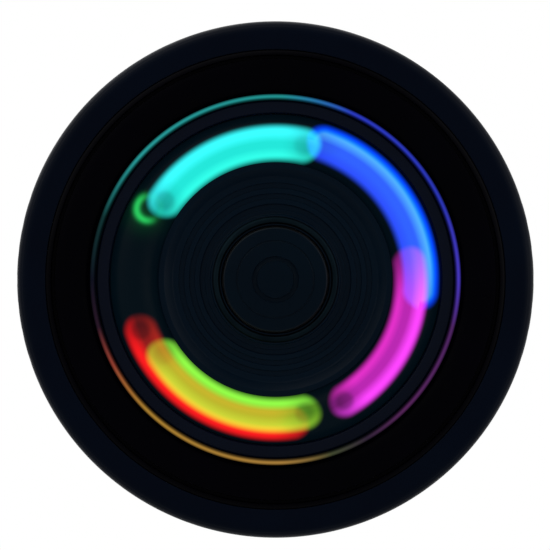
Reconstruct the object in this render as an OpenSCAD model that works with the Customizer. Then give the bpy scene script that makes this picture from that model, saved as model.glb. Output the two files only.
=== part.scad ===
// Wheel light for a bicycle spoke.
// A round lamp with a ring-shaped light guide, six colour LEDs, a push button in the middle,
// a battery tray in the bottom edge and a spring clip on the back that holds one spoke.
// Frame: the spoke runs along Z through the origin, the lamp faces -Y, and the clip is on the +Y side.
// The modules draw the lamp face up (face along +z, up along +y), and mounted() turns it upright.

/* [Body] */
// Outside diameter of the rear housing
body_d = 62; // [61:0.5:68]
// Thickness of the housing's back wall
floor_t = 1.8; // [1.4:0.1:2.6]
// Thickness of the housing's side wall
wall_t = 3.9; // [3.4:0.1:4.5]
// Rounding of the housing's back edge
back_edge_r = 1.2; // [0.6:0.1:1.2]
// How far the rubber bumper stands out from the housing
bumper_w = 4; // [3:0.1:5]
// Height of the rubber bumper
bumper_h = 4.4; // [3.6:0.1:4.6]
// Depth of the bumper's rib in the housing's groove
bumper_rib = 0.7; // [0.4:0.1:0.9]

/* [Light guide] */
// Width of the rim line
halo_w = 0.7; // [0.5:0.1:1]
// Height of the rim line above the guide's web
halo_h = 3; // [2.4:0.1:3.4]
// Width of the glowing band
band_w = 6.4; // [5:0.2:7]
// Straight height of the band below its round crown
band_rise = 0.6; // [0.4:0.1:1.5]
// Thickness of the web that joins band and rim line
web_t = 1; // [0.8:0.1:1.6]
// Width of the web inside the band, where the dish sits
web_land = 2.6; // [2:0.1:3]
// Light-spreading notches under the band between two LEDs
notches = 5; // [3:1:7]
// Depth of a light-spreading notch
notch_depth = 0.6; // [0.4:0.05:0.8]

/* [Face trim] */
// Width of the outer bezel, from the housing's edge to the rim line
bezel_w = 5.9; // [5:0.1:7]
// Height of the outer bezel's crown above the web
bezel_h = 2.6; // [2.2:0.1:3]
// How much the bezel falls from its crown to its edges
bezel_crown = 0.7; // [0.4:0.1:1]
// Width of the fine groove round the bezel
bezel_groove_w = 0.5; // [0.3:0.1:0.8]
// Width of the trim ring between band and rim line
trim_w = 1.9; // [1.2:0.1:2.6]
// Height of the trim ring between band and rim line
trim_h = 2.2; // [1.6:0.1:2.6]
// Height of the dish's rim above the web
dish_rim_h = 1.8; // [1.4:0.1:2.4]
// Height of the dish's floor above the web
dish_floor_h = 0.8; // [0.6:0.1:1.2]
// Concentric grooves in the dish
dish_grooves = 3; // [2:1:4]
// Depth of a dish groove
dish_groove_depth = 0.3; // [0.2:0.05:0.4]

/* [Button] */
// Diameter of the push button
button_d = 14; // [13:0.5:15]
// Height of the button's edge above the web
button_h = 3; // [2.6:0.1:4]
// Height of the button's dome above its edge
button_dome = 0.8; // [0.4:0.1:1.2]
// Wall of the button cap
button_wall = 1.2; // [1:0.1:1.5]
// Travel of the button
button_travel = 0.8; // [0.5:0.1:1]
// Wall of the tube that guides the button
collar_w = 1.45; // [1.4:0.05:2]
// Cord diameter of the button's O-ring
oring_d = 0.8; // [0.6:0.1:0.9]
// Side of the switch body
switch_w = 6.2; // [5:0.1:6.4]
// Height of the switch body
switch_h = 2; // [1.8:0.1:2.2]
// Diameter of the switch plunger
plunger_d = 3.2; // [2.4:0.1:3.6]

/* [Electronics] */
// Thickness of the circuit board
board_t = 0.8; // [0.6:0.1:1.2]
// Number of colour LEDs
led_count = 6; // [4:1:8]
// Side of an LED
led_w = 3; // [2.4:0.1:3.5]
// Height of an LED
led_h = 0.8; // [0.6:0.1:1.2]
// Gap between the LEDs and the light guide
led_gap = 0.3; // [0.2:0.1:0.6]
// Diameter of a coin cell
cell_d = 20; // [19.5:0.1:20.2]
// Thickness of one coin cell
cell_t = 1.6; // [1.2:0.1:2]
// Thickness of the sheet-metal contacts
contact_t = 0.2; // [0.15:0.05:0.3]
// Width of the sheet-metal contacts
contact_w = 5; // [4:0.5:7]

/* [Battery tray] */
// Wall of the tray around the cells
tray_wall = 1.55; // [1.2:0.05:2]
// How far the tray's face plate overlaps the slot
face_lip = 0.8; // [0.6:0.1:0.8]
// Thickness of the tray's face plate
face_t = 1.6; // [1.2:0.1:1.8]
// Thickness of the tray's gasket
tray_gasket_t = 0.5; // [0.3:0.1:0.6]
// Radius of the fingernail groove in the face plate
nail_r = 1; // [0.7:0.1:1.2]
// Thickness of the rails that guide the tray
rail_t = 1; // [0.8:0.1:1.4]

/* [Spoke clip] */
// Diameter of the spoke
spoke_d = 2; // [1.8:0.1:2.3]
// Gap between the two rubber jaws when the clip is shut
jaw_gap = 0.3; // [0.2:0.05:0.5]
// Length of the jaws along the spoke
jaw_l = 26; // [24:0.5:26]
// Reach of the jaws past the spoke, towards the mouth
jaw_reach = 9; // [7:0.5:9.5]
// Reach of the jaws past the spoke, towards the hinge
jaw_root = 6.5; // [5:0.5:6.5]
// Height of a jaw pad above the part that carries it
pad_h = 1.25; // [1.2:0.05:1.6]
// Depth of a jaw pad's seat
pad_seat = 0.5; // [0.4:0.1:0.7]
// Thickness of the clip's base plate
base_t = 1.4; // [1.3:0.1:2]
// Length of the base plate along the spoke
base_l = 37; // [36:0.5:38]
// Distance from the spoke to the base plate's mouth edge
base_reach = 12; // [11:0.5:13]
// Corner rounding of the base plate
base_corner_r = 3; // [2:0.5:4]
// Distance from the spoke to the hinge pin
hinge_x = 11; // [10.5:0.25:11.5]
// Thickness of the lever
lever_t = 2.4; // [2.2:0.1:3]
// Reach of the lever past the spoke, towards the mouth
lever_reach = 11; // [10:0.5:12]
// Length of the thumb tab past the hinge pin
tab_l = 13; // [11:0.5:14]
// Angle of the thumb tab away from the housing
tab_flare = 8; // [4:1:12]
// Grip ridges on the thumb tab
tab_ridges = 4; // [3:1:5]
// Diameter of the hinge pin
pin_d = 1.5; // [1.2:0.1:1.6]
// Thickness of each hinge ear on the base plate
ear_t = 3; // [2.5:0.1:3.5]
// Diameter of the spring's wire
wire_d = 0.6; // [0.4:0.05:0.6]
// Radius at the middle of the spring's wire
coil_r = 1.5; // [1.3:0.05:1.6]
// Whole turns of the spring
coil_turns = 6; // [4:1:6]
// Pitch of the spring's turns
coil_pitch = 1.05; // [1.02:0.01:1.2]

/* [Screws and seals] */
// Diameter of the case screws' shanks
case_screw_d = 1.9; // [1.6:0.1:2.2]
// Diameter of the case screws' heads
case_head_d = 3.6; // [3:0.1:4]
// Height of the case screws' heads
case_head_h = 1; // [0.8:0.1:1.2]
// Diameter of the base plate screws' shanks
base_screw_d = 1.6; // [1.4:0.1:1.8]
// Diameter of the base plate screws' heads
base_head_d = 3; // [2.6:0.1:3.2]
// Thickness of the case gasket
gasket_t = 0.8; // [0.5:0.1:1]

/* [Hidden] */
$fn = 96;
over = 0.5; // how far a cutting shape runs past what it cuts
fit_gap = 0.05; // clearance between pieces that are fixed together
run_gap = 0.3; // clearance between pieces that move past each other
slide_gap = 0.15; // clearance of the tray and its seal
pin_gap = 0.05; // clearance of the lever on the hinge pin
stop_gap = 0.1; // clearance of the button's flange at its upper stop

// Heights above the spoke's axis, from the clip to the face
jaw_face = jaw_gap / 2 + pad_h;
back_z = jaw_face + base_t;
floor_z = back_z + floor_t;
cell_z = floor_z + contact_t + run_gap;
cells_top = cell_z + 2 * cell_t;
contact_rise = 0.3; // height of the upper contact's bend
board_z = cells_top + run_gap + contact_t + contact_rise;
board_top = board_z + board_t;
guide_z = board_top + led_h + led_gap;
web_top = guide_z + web_t;
step_z = guide_z - gasket_t;
bumper_z = cells_top + slide_gap + face_lip + run_gap;
bumper_groove_h = 1.2;
bumper_groove_lift = 0.9; // height of the groove above the bumper's lower edge
bumper_groove_z = bumper_z + bumper_groove_lift;
bumper_edge_r = min(bumper_w, bumper_h / 2) * 0.8;
grip_r = 0.75; // radius of a grip notch
grip_out = 0.35; // distance of a notch's axis from the bumper's edge
grip_h = bumper_h * 0.62;
grip_step = 6; // angle between two grip notches
grip_angles = [for (side = [0, 180], i = [-3 : 3]) side + i * grip_step];

// Radii of the body
body_r = body_d / 2;
cavity_r = body_r - wall_t;
gasket_land = 1.6;
pocket_r = cavity_r + gasket_land;
board_gap = 0.2; // clearance of the board in the cavity
board_r = cavity_r - board_gap;
guide_r = pocket_r - fit_gap;

// Radii of the face, from the housing's edge inwards
bezel_out_r = body_r - fit_gap;
bezel_in_r = bezel_out_r - bezel_w;
halo_r = bezel_in_r - fit_gap;
halo_in_r = halo_r - halo_w;
trim_out_r = halo_in_r - fit_gap;
trim_in_r = trim_out_r - trim_w;
band_out_r = trim_in_r - fit_gap;
band_in_r = band_out_r - band_w;
band_mid_r = (band_in_r + band_out_r) / 2;
crown_z = web_top + band_rise;
web_in_r = band_in_r - web_land;
notch_end = 0.4; // length of the band left plain at each end of a notch
dish_r = band_in_r - fit_gap;
bezel_groove_r = bezel_out_r - bezel_w * 0.2;
bezel_groove_depth = 0.3;
trim_edge_r = 0.4;
led_pocket_d = led_w * 1.2;
led_pocket_depth = web_t * 0.6;
dish_rim_w = 0.8; // flat top of the dish's rim
dish_slope_w = 1.2; // slope from the rim down to the floor
dish_floor_r = dish_r - dish_rim_w - dish_slope_w;

// Button and what guides it
button_r = button_d / 2;
collar_in_r = button_r + run_gap;
collar_out_r = collar_in_r + collar_w;
collar_h = 2.2;
dish_groove_inset = 0.4; // plain floor on each side of the grooves
flange_t = 0.6;
flange_floor_gap = 0.2;
flange_lip = 0.9; // how far the flange reaches under the tube
flange_r = collar_in_r + flange_lip;
flange_z = board_top + flange_floor_gap + button_travel;
collar_z = flange_z + flange_t + stop_gap;
switch_top = board_top + switch_h;
plunger_top = switch_top + button_travel;
plunger_foot = 0.4;
plunger_room = 0.1; // depth left under the pressed plunger
plunger_bore_depth = button_travel + plunger_foot + plunger_room;
oring_lift = 1; // height of the O-ring above the web
oring_z = web_top + oring_lift;
oring_squeeze_gap = 0.02;
oring_room = 0.04;
mark_rs = [0.4 * button_r, 0.74 * button_r]; // radii of the two round marks in the button's top
mark_depths = [0.35, 0.12];
oring_r = collar_in_r - oring_squeeze_gap - oring_d / 2;
ring_trim_w = 1;
switch_corner_r = 0.5;

// Reflector and LEDs
led_angles = [for (i = [0 : led_count - 1]) i * 360 / led_count];
reflector_inset = 0.5; // how far the reflector starts outside the web's inner edge
reflector_in_r = web_in_r + reflector_inset;
reflector_gap = 0.2; // clearance between the reflector and the screw bosses
window_foot_r = led_w * 0.74;
window_mouth_r = led_w * 0.95;
led_lens_d = led_w * 0.75;
led_lens_depth = 0.2;

// Small parts on the board's back
chip_w = 4;
chip_l = 5;
chip_h = 1.2;
chip_foot = 0.15;
chip_leg_w = 0.4;
chip_leg_l = 0.8;
chip_leg_pitch = 1.15;
chip_y = 7;
resistor_w = 0.8;
resistor_l = 1.6;
resistor_h = 0.5;
resistor_pitch = 2;
resistor_row_gap = 6; // distance of the resistors' row from the middle of the chip
resistor_y = chip_y + resistor_row_gap;
capacitor_w = 1.25;
capacitor_l = 2;
capacitor_h = 0.8;
capacitor_x = 5.5;

// Battery tray
cell_r = cell_d / 2;
pocket_gap = 0.15;
tray_r = cell_r + pocket_gap + tray_wall;
tray_front = 2.75; // material between the cells and the face plate
cell_y = -(body_r - face_t - tray_front - cell_r - pocket_gap);
tray_z = floor_z + contact_t + slide_gap;
tray_lip = 0.1; // how far the tray's walls stand above the cells
tray_top = cells_top + tray_lip;
tray_back = cell_y + tray_r;
slot_gap = 0.2;
seat_r = body_r - face_t - tray_gasket_t - slide_gap;
face_w = 2 * (tray_r + slot_gap + face_lip);
face_z = tray_z - slide_gap - face_lip;
face_top = tray_top + slide_gap + face_lip;
rail_x = tray_r + slot_gap + rail_t / 2;
rail_front = cell_y - tray_r / 2;
rail_back = cell_y + tray_r * 0.7;
nail_out = nail_r / 4; // distance of the groove's circle from the face plate's surface
nail_half = tray_r * 0.55;
cell_cap_h = cell_t * 0.2;
cell_crimp_w = 1.2;

// Contacts
leaf_root = 4; // distance from the tray's back to the leaf's root on the board
leaf_foot = 3; // length of the leaf's foot under the board
leaf_slope = 1; // length of the leaf's slope, and gap of the lower contact's leg behind the tray
leaf_reach = 3; // reach of the contacts past the middle of the cells

// Clip
leg_cover = 0.2;
leg_z = -(jaw_face + lever_t - leg_cover - wire_d / 2);
hinge_z = leg_z + coil_r;
knuckle_wall = 1.45;
knuckle_r = pin_d / 2 + knuckle_wall;
ear_extra = 0.2; // how far the ears stand past the knuckles and the lever's ends
ear_r = knuckle_r + ear_extra;
lever_half = jaw_l / 2;
ear_y = lever_half - ear_t + ear_extra;
window_room = 1.7; // room at each end of the spring
window_half = coil_turns * coil_pitch / 2 + window_room;
window_reach = 3;
ear_room = 1;
tab_back = 3;
base_margin = 1.5; // width of the base plate past the ears
base_edge = hinge_x + ear_r + base_margin;
base_screw_inset_x = 3.6;
base_screw_inset_y = 2.2;
pad_corner_r = 1.2;
pad_inset = 1; // how much shorter the pads are than the lever, at each end
lead_w = 2.2;
lead_depth = 0.7;
lever_corner_r = 3;
flange_rib_t = 1.2;
flange_rib_h = 0.8;
ridge_d = 0.8;
ridge_margin = 2; // plain length of the tab before the first ridge
tab_tip_t = lever_t * 0.75;
panel_inset = 1.6; // plain border round the moulded panel in the lever's back
panel_depth = 0.4;
panel_corner_r = 1.5;
lever_cut = 4 * lever_t; // depth of the cuts through the lever
pin_head_lip = 0.5;
pin_head_r = pin_d / 2 + pin_head_lip;
pin_head_t = 0.6;

// Screws
case_angles = [45, 135, 225, 315];
boss_wall = 1.05;
boss_extra = 0.2; // how much wider the housing's bosses are than the guide's
case_boss_r = case_screw_d / 2 + boss_wall;
case_screw_r = cavity_r - case_boss_r - run_gap;
head_sink = 0.2; // how deep the case screws' heads lie in the back
case_head_z = back_z + head_sink;
shank_gap = 0.15;
tip_cover = 0.4; // depth of a case screw's tip below the guide's web
tip_room = 0.2; // room ahead of a screw's tip
case_tip = guide_z - tip_cover;
recess_w = 0.5;
recess_depth = 0.6;
recess_share = 0.5; // length of a cross recess as a share of its head
floor_skin = 0.4; // housing left behind the base screws
heads_r = case_screw_r + case_head_d / 2 + shank_gap; // reach of the case screws' heads
back_groove_w = 0.8;
back_groove_depth = 0.3;
back_groove_r = (heads_r + body_r - back_edge_r) / 2;
base_screw_depth = floor_t - floor_skin;
base_head_h = (base_head_d - base_screw_d) / 2;
rib_t = 1.5;
rib_l = 3;
rib_angles = [for (i = [-1 : 7]) i * 30];

// Turns the lamp from face up to facing -Y
module mounted() {
    rotate([90, 0, 0]) children();
}

// Copies of a piece round the lamp's axis, at the given angles and distance
module around(angles, r) {
    for (a = angles)
        rotate([0, 0, a]) translate([r, 0, 0]) children();
}

// A flat ring from its radii and heights
module ring(r_in, r_out, z0, z1) {
    rotate_extrude() translate([r_in, z0]) square([r_out - r_in, z1 - z0]);
}

// A rectangle with round corners, from its limits
module round_rect(x0, x1, y0, y1, r) {
    translate([x0 + r, y0]) square([x1 - x0 - 2 * r, y1 - y0]);
    translate([x0, y0 + r]) square([x1 - x0, y1 - y0 - 2 * r]);
    for (x = [x0 + r, x1 - r], y = [y0 + r, y1 - r])
        translate([x, y]) circle(r);
}

// A box from its limits
module block(x0, x1, y0, y1, z0, z1) {
    translate([x0, y0, z0]) cube([x1 - x0, y1 - y0, z1 - z0]);
}

// A bar of a side profile drawn in x and z, running along y
module along_spoke(y0, y1) {
    translate([0, y1, 0]) rotate([90, 0, 0]) linear_extrude(y1 - y0) children();
}

// A cylinder along the spoke at a place in x and z
module rod(x, z, r, y0, y1) {
    translate([x, y1, z]) rotate([90, 0, 0]) cylinder(r = r, h = y1 - y0);
}

// The cross recess of a screw whose head starts at height z
module cross_recess(head_r, z) {
    half_l = head_r * recess_share;
    for (turn = [0, 90])
        rotate([0, 0, turn])
            block(-half_l, half_l, -recess_w / 2, recess_w / 2, z - over, z + recess_depth);
}

// Rear housing: a cup with a stepped rim, a bumper groove, a fine groove round its back,
// screw bosses, board ribs and tray rails
module housing_section() {
    difference() {
        union() {
            translate([0, back_z]) square([body_r - back_edge_r, web_top - back_z]);
            translate([0, back_z + back_edge_r]) square([body_r, web_top - back_z - back_edge_r]);
            translate([body_r - back_edge_r, back_z + back_edge_r]) circle(back_edge_r);
        }
        translate([0, floor_z]) square([cavity_r, web_top]);
        translate([0, step_z]) square([pocket_r, web_top]);
        translate([body_r - bumper_rib - fit_gap, bumper_groove_z - fit_gap])
            square([2 * bumper_rib, bumper_groove_h + 2 * fit_gap]);
        translate([back_groove_r - back_groove_w / 2, back_z - over])
            square([back_groove_w, over + back_groove_depth]);
    }
}

module tray_opening() {
    block(-tray_r - slot_gap, tray_r + slot_gap, -body_r - over, -cavity_r / 2,
          tray_z - slide_gap, tray_top + slide_gap);
    intersection() {
        ring(seat_r, body_r + over, face_z - slide_gap, face_top + slide_gap);
        block(-face_w / 2 - slot_gap, face_w / 2 + slot_gap, -body_r - over, 0,
              face_z - slide_gap, face_top + slide_gap);
    }
}

module rear_housing() {
    color([0.035, 0.04, 0.055])
        difference() {
            union() {
                rotate_extrude() housing_section();
                around(case_angles, case_screw_r)
                    translate([0, 0, floor_z - over])
                        cylinder(r = case_boss_r + boss_extra, h = board_z - run_gap - floor_z + over);
                around(rib_angles, cavity_r - rib_l)
                    block(0, rib_l + over, -rib_t / 2, rib_t / 2, floor_z - over, board_z);
                for (side = [-1, 1])
                    block(side * rail_x - rail_t / 2, side * rail_x + rail_t / 2,
                          rail_front, rail_back, floor_z - over, tray_top);
            }
            tray_opening();
            around(case_angles, case_screw_r) {
                translate([0, 0, back_z - over])
                    cylinder(d = case_screw_d + 2 * shank_gap, h = board_top);
                translate([0, 0, back_z - over])
                    cylinder(d = case_head_d + 2 * shank_gap, h = head_sink + case_head_h + over);
            }
            base_screw_places()
                translate([0, 0, back_z - over])
                    cylinder(d = base_screw_d, h = base_screw_depth + over);
        }
}

// Rubber bumper: a round-edged ring with a rib in the housing's groove and grip notches on two sides
module bumper_section() {
    edge = bumper_edge_r;
    translate([body_r + fit_gap, bumper_z])
        square([bumper_w - edge - fit_gap, bumper_h]);
    translate([body_r + fit_gap, bumper_z + edge])
        square([bumper_w - fit_gap, bumper_h - 2 * edge]);
    for (z = [bumper_z + edge, bumper_z + bumper_h - edge])
        translate([body_r + bumper_w - edge, z]) circle(edge);
    translate([body_r - bumper_rib, bumper_groove_z])
        square([bumper_rib + 2 * fit_gap, bumper_groove_h]);
}

module bumper_ring() {
    color([0.02, 0.022, 0.03])
        difference() {
            rotate_extrude() bumper_section();
            around(grip_angles, body_r + bumper_w + grip_out)
                translate([0, 0, bumper_z - over]) cylinder(r = grip_r, h = grip_h + over);
        }
}

module case_gasket() {
    color([0.03, 0.03, 0.03])
        ring(cavity_r + fit_gap, pocket_r - fit_gap, step_z, guide_z);
}

module case_screws() {
    color([0.55, 0.56, 0.58])
        around(case_angles, case_screw_r)
            difference() {
                union() {
                    translate([0, 0, case_head_z]) cylinder(d = case_head_d, h = case_head_h);
                    translate([0, 0, case_head_z]) cylinder(d = case_screw_d, h = case_tip - case_head_z);
                }
                cross_recess(case_head_d / 2, case_head_z);
            }
}

// Outer bezel on the housing's rim: a crowned ring with one fine groove
module front_bezel() {
    half_w = bezel_w / 2;
    crown_r = (half_w * half_w + bezel_crown * bezel_crown) / (2 * bezel_crown);
    color([0.025, 0.028, 0.04])
        rotate_extrude()
            difference() {
                intersection() {
                    translate([bezel_in_r, web_top]) square([bezel_w, bezel_h]);
                    translate([bezel_in_r + half_w, web_top + bezel_h - crown_r])
                        circle(crown_r, $fn = 180);
                }
                translate([bezel_groove_r, web_top + bezel_h - bezel_crown - bezel_groove_depth])
                    square([bezel_groove_w, bezel_h]);
            }
}

// Trim ring between the glowing band and the rim line
module trim_ring() {
    edge = trim_edge_r;
    color([0.02, 0.022, 0.03])
        rotate_extrude() {
            translate([trim_in_r, web_top]) square([trim_w, trim_h - edge]);
            translate([trim_in_r + edge, web_top]) square([trim_w - 2 * edge, trim_h]);
            for (r = [trim_in_r + edge, trim_out_r - edge])
                translate([r, web_top + trim_h - edge]) circle(edge);
        }
}

// Light guide: web, round-crowned band, rim line, LED pockets, spreading notches and screw bosses
module guide_section() {
    translate([web_in_r, guide_z]) square([guide_r - web_in_r, web_t]);
    translate([band_in_r, guide_z]) square([band_w, crown_z - guide_z]);
    intersection() {
        translate([band_mid_r, crown_z]) circle(band_w / 2);
        translate([band_in_r, crown_z - over]) square([band_w, band_w]);
    }
    translate([halo_in_r, guide_z]) square([halo_w, web_t + halo_h - halo_w / 2]);
    translate([halo_r - halo_w / 2, web_top + halo_h - halo_w / 2]) circle(halo_w / 2);
}

module light_guide() {
    led_step = 360 / led_count;
    notch_angles = [for (i = [0 : led_count - 1], j = [1 : notches])
                        led_step * (i + 0.25 + 0.5 * (j - 1) / (notches - 1))];
    color([0.2, 0.75, 0.95])
        difference() {
            union() {
                rotate_extrude() guide_section();
                around(case_angles, case_screw_r)
                    translate([0, 0, board_z - slide_gap])
                        cylinder(r = case_boss_r, h = guide_z - board_z + slide_gap + web_t / 2);
            }
            around(led_angles, band_mid_r)
                translate([0, 0, guide_z - over]) cylinder(d = led_pocket_d, h = over + led_pocket_depth);
            around(notch_angles, band_in_r + notch_end)
                translate([0, 0, guide_z]) rotate([0, 90, 0])
                    cylinder(r = notch_depth, h = band_w - 2 * notch_end, $fn = 4);
            around(case_angles, case_screw_r)
                translate([0, 0, board_z - over])
                    cylinder(d = case_screw_d + 2 * fit_gap, h = case_tip + tip_room - board_z + over);
        }
}

// Dish between the band and the button: rim, grooved floor, and the tube that guides the button
module dish_section() {
    floor_top = web_top + dish_floor_h;
    rim_top = web_top + dish_rim_h;
    translate([collar_in_r, collar_z]) square([collar_w, web_top + collar_h - collar_z]);
    translate([collar_in_r, collar_z])
        square([web_in_r - fit_gap - collar_in_r, floor_top - collar_z]);
    translate([collar_in_r, web_top]) square([dish_r - collar_in_r, dish_floor_h]);
    polygon([
        [dish_floor_r, web_top],
        [dish_r, web_top],
        [dish_r, rim_top],
        [dish_r - dish_rim_w, rim_top],
        [dish_floor_r, floor_top]
    ]);
}

module center_dish() {
    first_r = collar_out_r + dish_groove_inset;
    groove_step = (dish_floor_r - dish_groove_inset - first_r) / dish_grooves;
    color([0.03, 0.045, 0.06])
        difference() {
            rotate_extrude() dish_section();
            for (i = [0 : dish_grooves - 1])
                ring(first_r + (i + 0.25) * groove_step, first_r + (i + 0.75) * groove_step,
                     web_top + dish_floor_h - dish_groove_depth, web_top + dish_rim_h + over);
        }
}

// Bright ring on top of the button's guide tube
module button_ring() {
    mid_r = collar_in_r + collar_w / 2;
    color([0.4, 0.42, 0.46])
        rotate_extrude()
            translate([mid_r, web_top + collar_h])
                difference() {
                    circle(ring_trim_w / 2);
                    translate([-ring_trim_w, -ring_trim_w]) square([2 * ring_trim_w, ring_trim_w]);
                }
}

// Button cap: domed top with two round marks, skirt with an O-ring groove, retaining flange
// and a stem to the switch
module button_cap() {
    edge_z = web_top + button_h;
    dome_r = (button_r * button_r + button_dome * button_dome) / (2 * button_dome);
    dome_mid = edge_z + button_dome - dome_r;
    roof_z = edge_z - button_wall;
    color([0.04, 0.042, 0.05])
        rotate_extrude()
            difference() {
                union() {
                    translate([0, flange_z]) square([flange_r, flange_t]);
                    translate([0, flange_z]) square([button_r, edge_z - flange_z]);
                    intersection() {
                        translate([0, dome_mid]) circle(dome_r, $fn = 360);
                        translate([0, edge_z - over]) square([button_r, button_dome + 2 * over]);
                    }
                }
                difference() {
                    translate([0, flange_z - over])
                        square([button_r - button_wall, roof_z - flange_z + over]);
                    translate([0, plunger_top]) square([plunger_d / 2, roof_z - plunger_top]);
                }
                translate([oring_r - oring_d / 2 - oring_room, oring_z - oring_d / 2 - oring_room])
                    square([button_r, oring_d + 2 * oring_room]);
                for (i = [0 : len(mark_rs) - 1])
                    translate([mark_rs[i], dome_mid + sqrt(dome_r * dome_r - mark_rs[i] * mark_rs[i])])
                        circle(mark_depths[i]);
            }
}

module button_oring() {
    color([0.02, 0.02, 0.02])
        rotate_extrude() translate([oring_r, oring_z]) circle(oring_d / 2);
}

module switch_plunger() {
    color([0.1, 0.1, 0.1])
        translate([0, 0, switch_top - plunger_foot])
            cylinder(d = plunger_d, h = button_travel + plunger_foot);
}

module tact_switch() {
    half_w = switch_w / 2;
    color([0.15, 0.15, 0.16])
        difference() {
            translate([0, 0, board_top]) linear_extrude(switch_h)
                round_rect(-half_w, half_w, -half_w, half_w, switch_corner_r);
            translate([0, 0, switch_top - plunger_bore_depth])
                cylinder(d = plunger_d + 2 * slide_gap, h = plunger_bore_depth + over);
        }
}

// White reflector on the board, with a flared window over each LED
module reflector() {
    out_r = case_screw_r - case_boss_r - reflector_gap;
    color([0.9, 0.9, 0.88])
        difference() {
            ring(reflector_in_r, out_r, board_top, guide_z);
            around(led_angles, band_mid_r)
                translate([0, 0, board_top - over])
                    cylinder(r1 = window_foot_r, r2 = window_mouth_r, h = guide_z - board_top + 2 * over);
        }
}

module circuit_board() {
    color([0.06, 0.3, 0.16])
        difference() {
            translate([0, 0, board_z]) cylinder(r = board_r, h = board_t);
            around(case_angles, case_screw_r)
                translate([0, 0, board_z - over])
                    cylinder(r = case_boss_r + slide_gap, h = board_t + 2 * over);
        }
}

// Colour LEDs: square packages with a round window
module leds() {
    color([0.95, 0.95, 0.9])
        around(led_angles, band_mid_r)
            difference() {
                block(-led_w / 2, led_w / 2, -led_w / 2, led_w / 2, board_top, board_top + led_h);
                translate([0, 0, board_top + led_h - led_lens_depth]) cylinder(d = led_lens_d, h = over);
            }
}

// Small parts on the board's back, in the upper half where the tray doesn't reach
module under_board(x, y) {
    translate([x, y, board_z]) mirror([0, 0, 1]) children();
}

module controller_chip() {
    color([0.05, 0.05, 0.055])
        under_board(0, chip_y) {
            translate([0, 0, chip_foot]) linear_extrude(chip_h - chip_foot)
                square([chip_w, chip_l], center = true);
            for (i = [-1.5 : 1.5])
                translate([0, i * chip_leg_pitch, 0]) linear_extrude(chip_h / 2)
                    square([chip_w + 2 * chip_leg_l, chip_leg_w], center = true);
        }
}

module resistors() {
    color([0.1, 0.1, 0.11])
        for (i = [0 : led_count - 1])
            under_board((i - (led_count - 1) / 2) * resistor_pitch, resistor_y)
                linear_extrude(resistor_h) square([resistor_w, resistor_l], center = true);
}

module capacitors() {
    color([0.55, 0.42, 0.28])
        for (side = [-1, 1])
            under_board(side * capacitor_x, chip_y)
                linear_extrude(capacitor_h) square([capacitor_w, capacitor_l], center = true);
}

// Upper contact: a leaf from the board's underside down to just above the cells
module upper_contact() {
    root_y = tray_back + leaf_root;
    bend_y = root_y - leaf_foot;
    slope_y = bend_y - leaf_slope;
    tip_y = cell_y - leaf_reach;
    low = cells_top + run_gap;
    color([0.8, 0.72, 0.5])
        rotate([90, 0, 90])
            translate([0, 0, -contact_w / 2]) linear_extrude(contact_w)
                polygon([
                    [root_y, board_z],
                    [bend_y, board_z],
                    [slope_y, low + contact_t],
                    [tip_y, low + contact_t],
                    [tip_y, low],
                    [slope_y - contact_t, low],
                    [bend_y - contact_t, board_z - contact_t],
                    [root_y, board_z - contact_t]
                ]);
}

// Lower contact: a strip on the housing's floor with a leg up to the board behind the tray
module lower_contact() {
    leg_y = tray_back + leaf_slope;
    tip_y = cell_y - leaf_reach;
    color([0.8, 0.72, 0.5])
        translate([-cell_r / 2, 0, 0]) rotate([90, 0, 90])
            translate([0, 0, -contact_w / 2]) linear_extrude(contact_w)
                polygon([
                    [tip_y, floor_z],
                    [leg_y + contact_t, floor_z],
                    [leg_y + contact_t, board_z],
                    [leg_y, board_z],
                    [leg_y, floor_z + contact_t],
                    [tip_y, floor_z + contact_t]
                ]);
}

// Battery tray: a cradle for two coin cells with a sealed face plate and a fingernail groove
module tray_plan() {
    translate([0, cell_y]) circle(tray_r);
    translate([-tray_r, -body_r]) square([2 * tray_r, body_r + cell_y]);
}

module battery_tray() {
    color([0.035, 0.04, 0.055])
        difference() {
            union() {
                intersection() {
                    translate([0, 0, tray_z]) linear_extrude(tray_top - tray_z) tray_plan();
                    cylinder(r = body_r - face_t, h = tray_top + over);
                }
                intersection() {
                    ring(body_r - face_t, body_r, face_z, face_top);
                    block(-face_w / 2, face_w / 2, -body_r, 0, face_z, face_top);
                }
            }
            translate([0, cell_y, tray_z - over])
                cylinder(r = cell_r + pocket_gap, h = tray_top - tray_z + 2 * over);
            intersection() {
                rotate_extrude() translate([body_r + nail_out, (face_z + face_top) / 2]) circle(nail_r);
                block(-nail_half, nail_half, -body_r - over, 0, face_z, face_top);
            }
        }
}

module tray_gasket() {
    seal_r = body_r - face_t;
    color([0.03, 0.03, 0.03])
        intersection() {
            ring(seal_r - tray_gasket_t, seal_r, face_z, face_top);
            difference() {
                block(-face_w / 2, face_w / 2, -body_r, 0, face_z, face_top);
                block(-tray_r - fit_gap, tray_r + fit_gap, -body_r - over, over,
                      tray_z - fit_gap, tray_top + fit_gap);
            }
        }
}

// A coin cell: a can with a smaller cap on its front
module coin_cell(z) {
    color([0.75, 0.76, 0.78])
        translate([0, cell_y, z]) {
            cylinder(r = cell_r, h = cell_t - cell_cap_h);
            cylinder(r = cell_r - cell_crimp_w, h = cell_t);
        }
}

module coin_cell_front() {
    coin_cell(cell_z + cell_t);
}

module coin_cell_rear() {
    coin_cell(cell_z);
}

// Clip base: a plate screwed to the housing's back, with two hinge ears and a seat for the pad
module base_screw_places() {
    for (x = [-base_reach + base_screw_inset_x, base_edge - base_screw_inset_x], side = [-1, 1])
        translate([x, side * (base_l / 2 - base_screw_inset_y), 0]) children();
}

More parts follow.
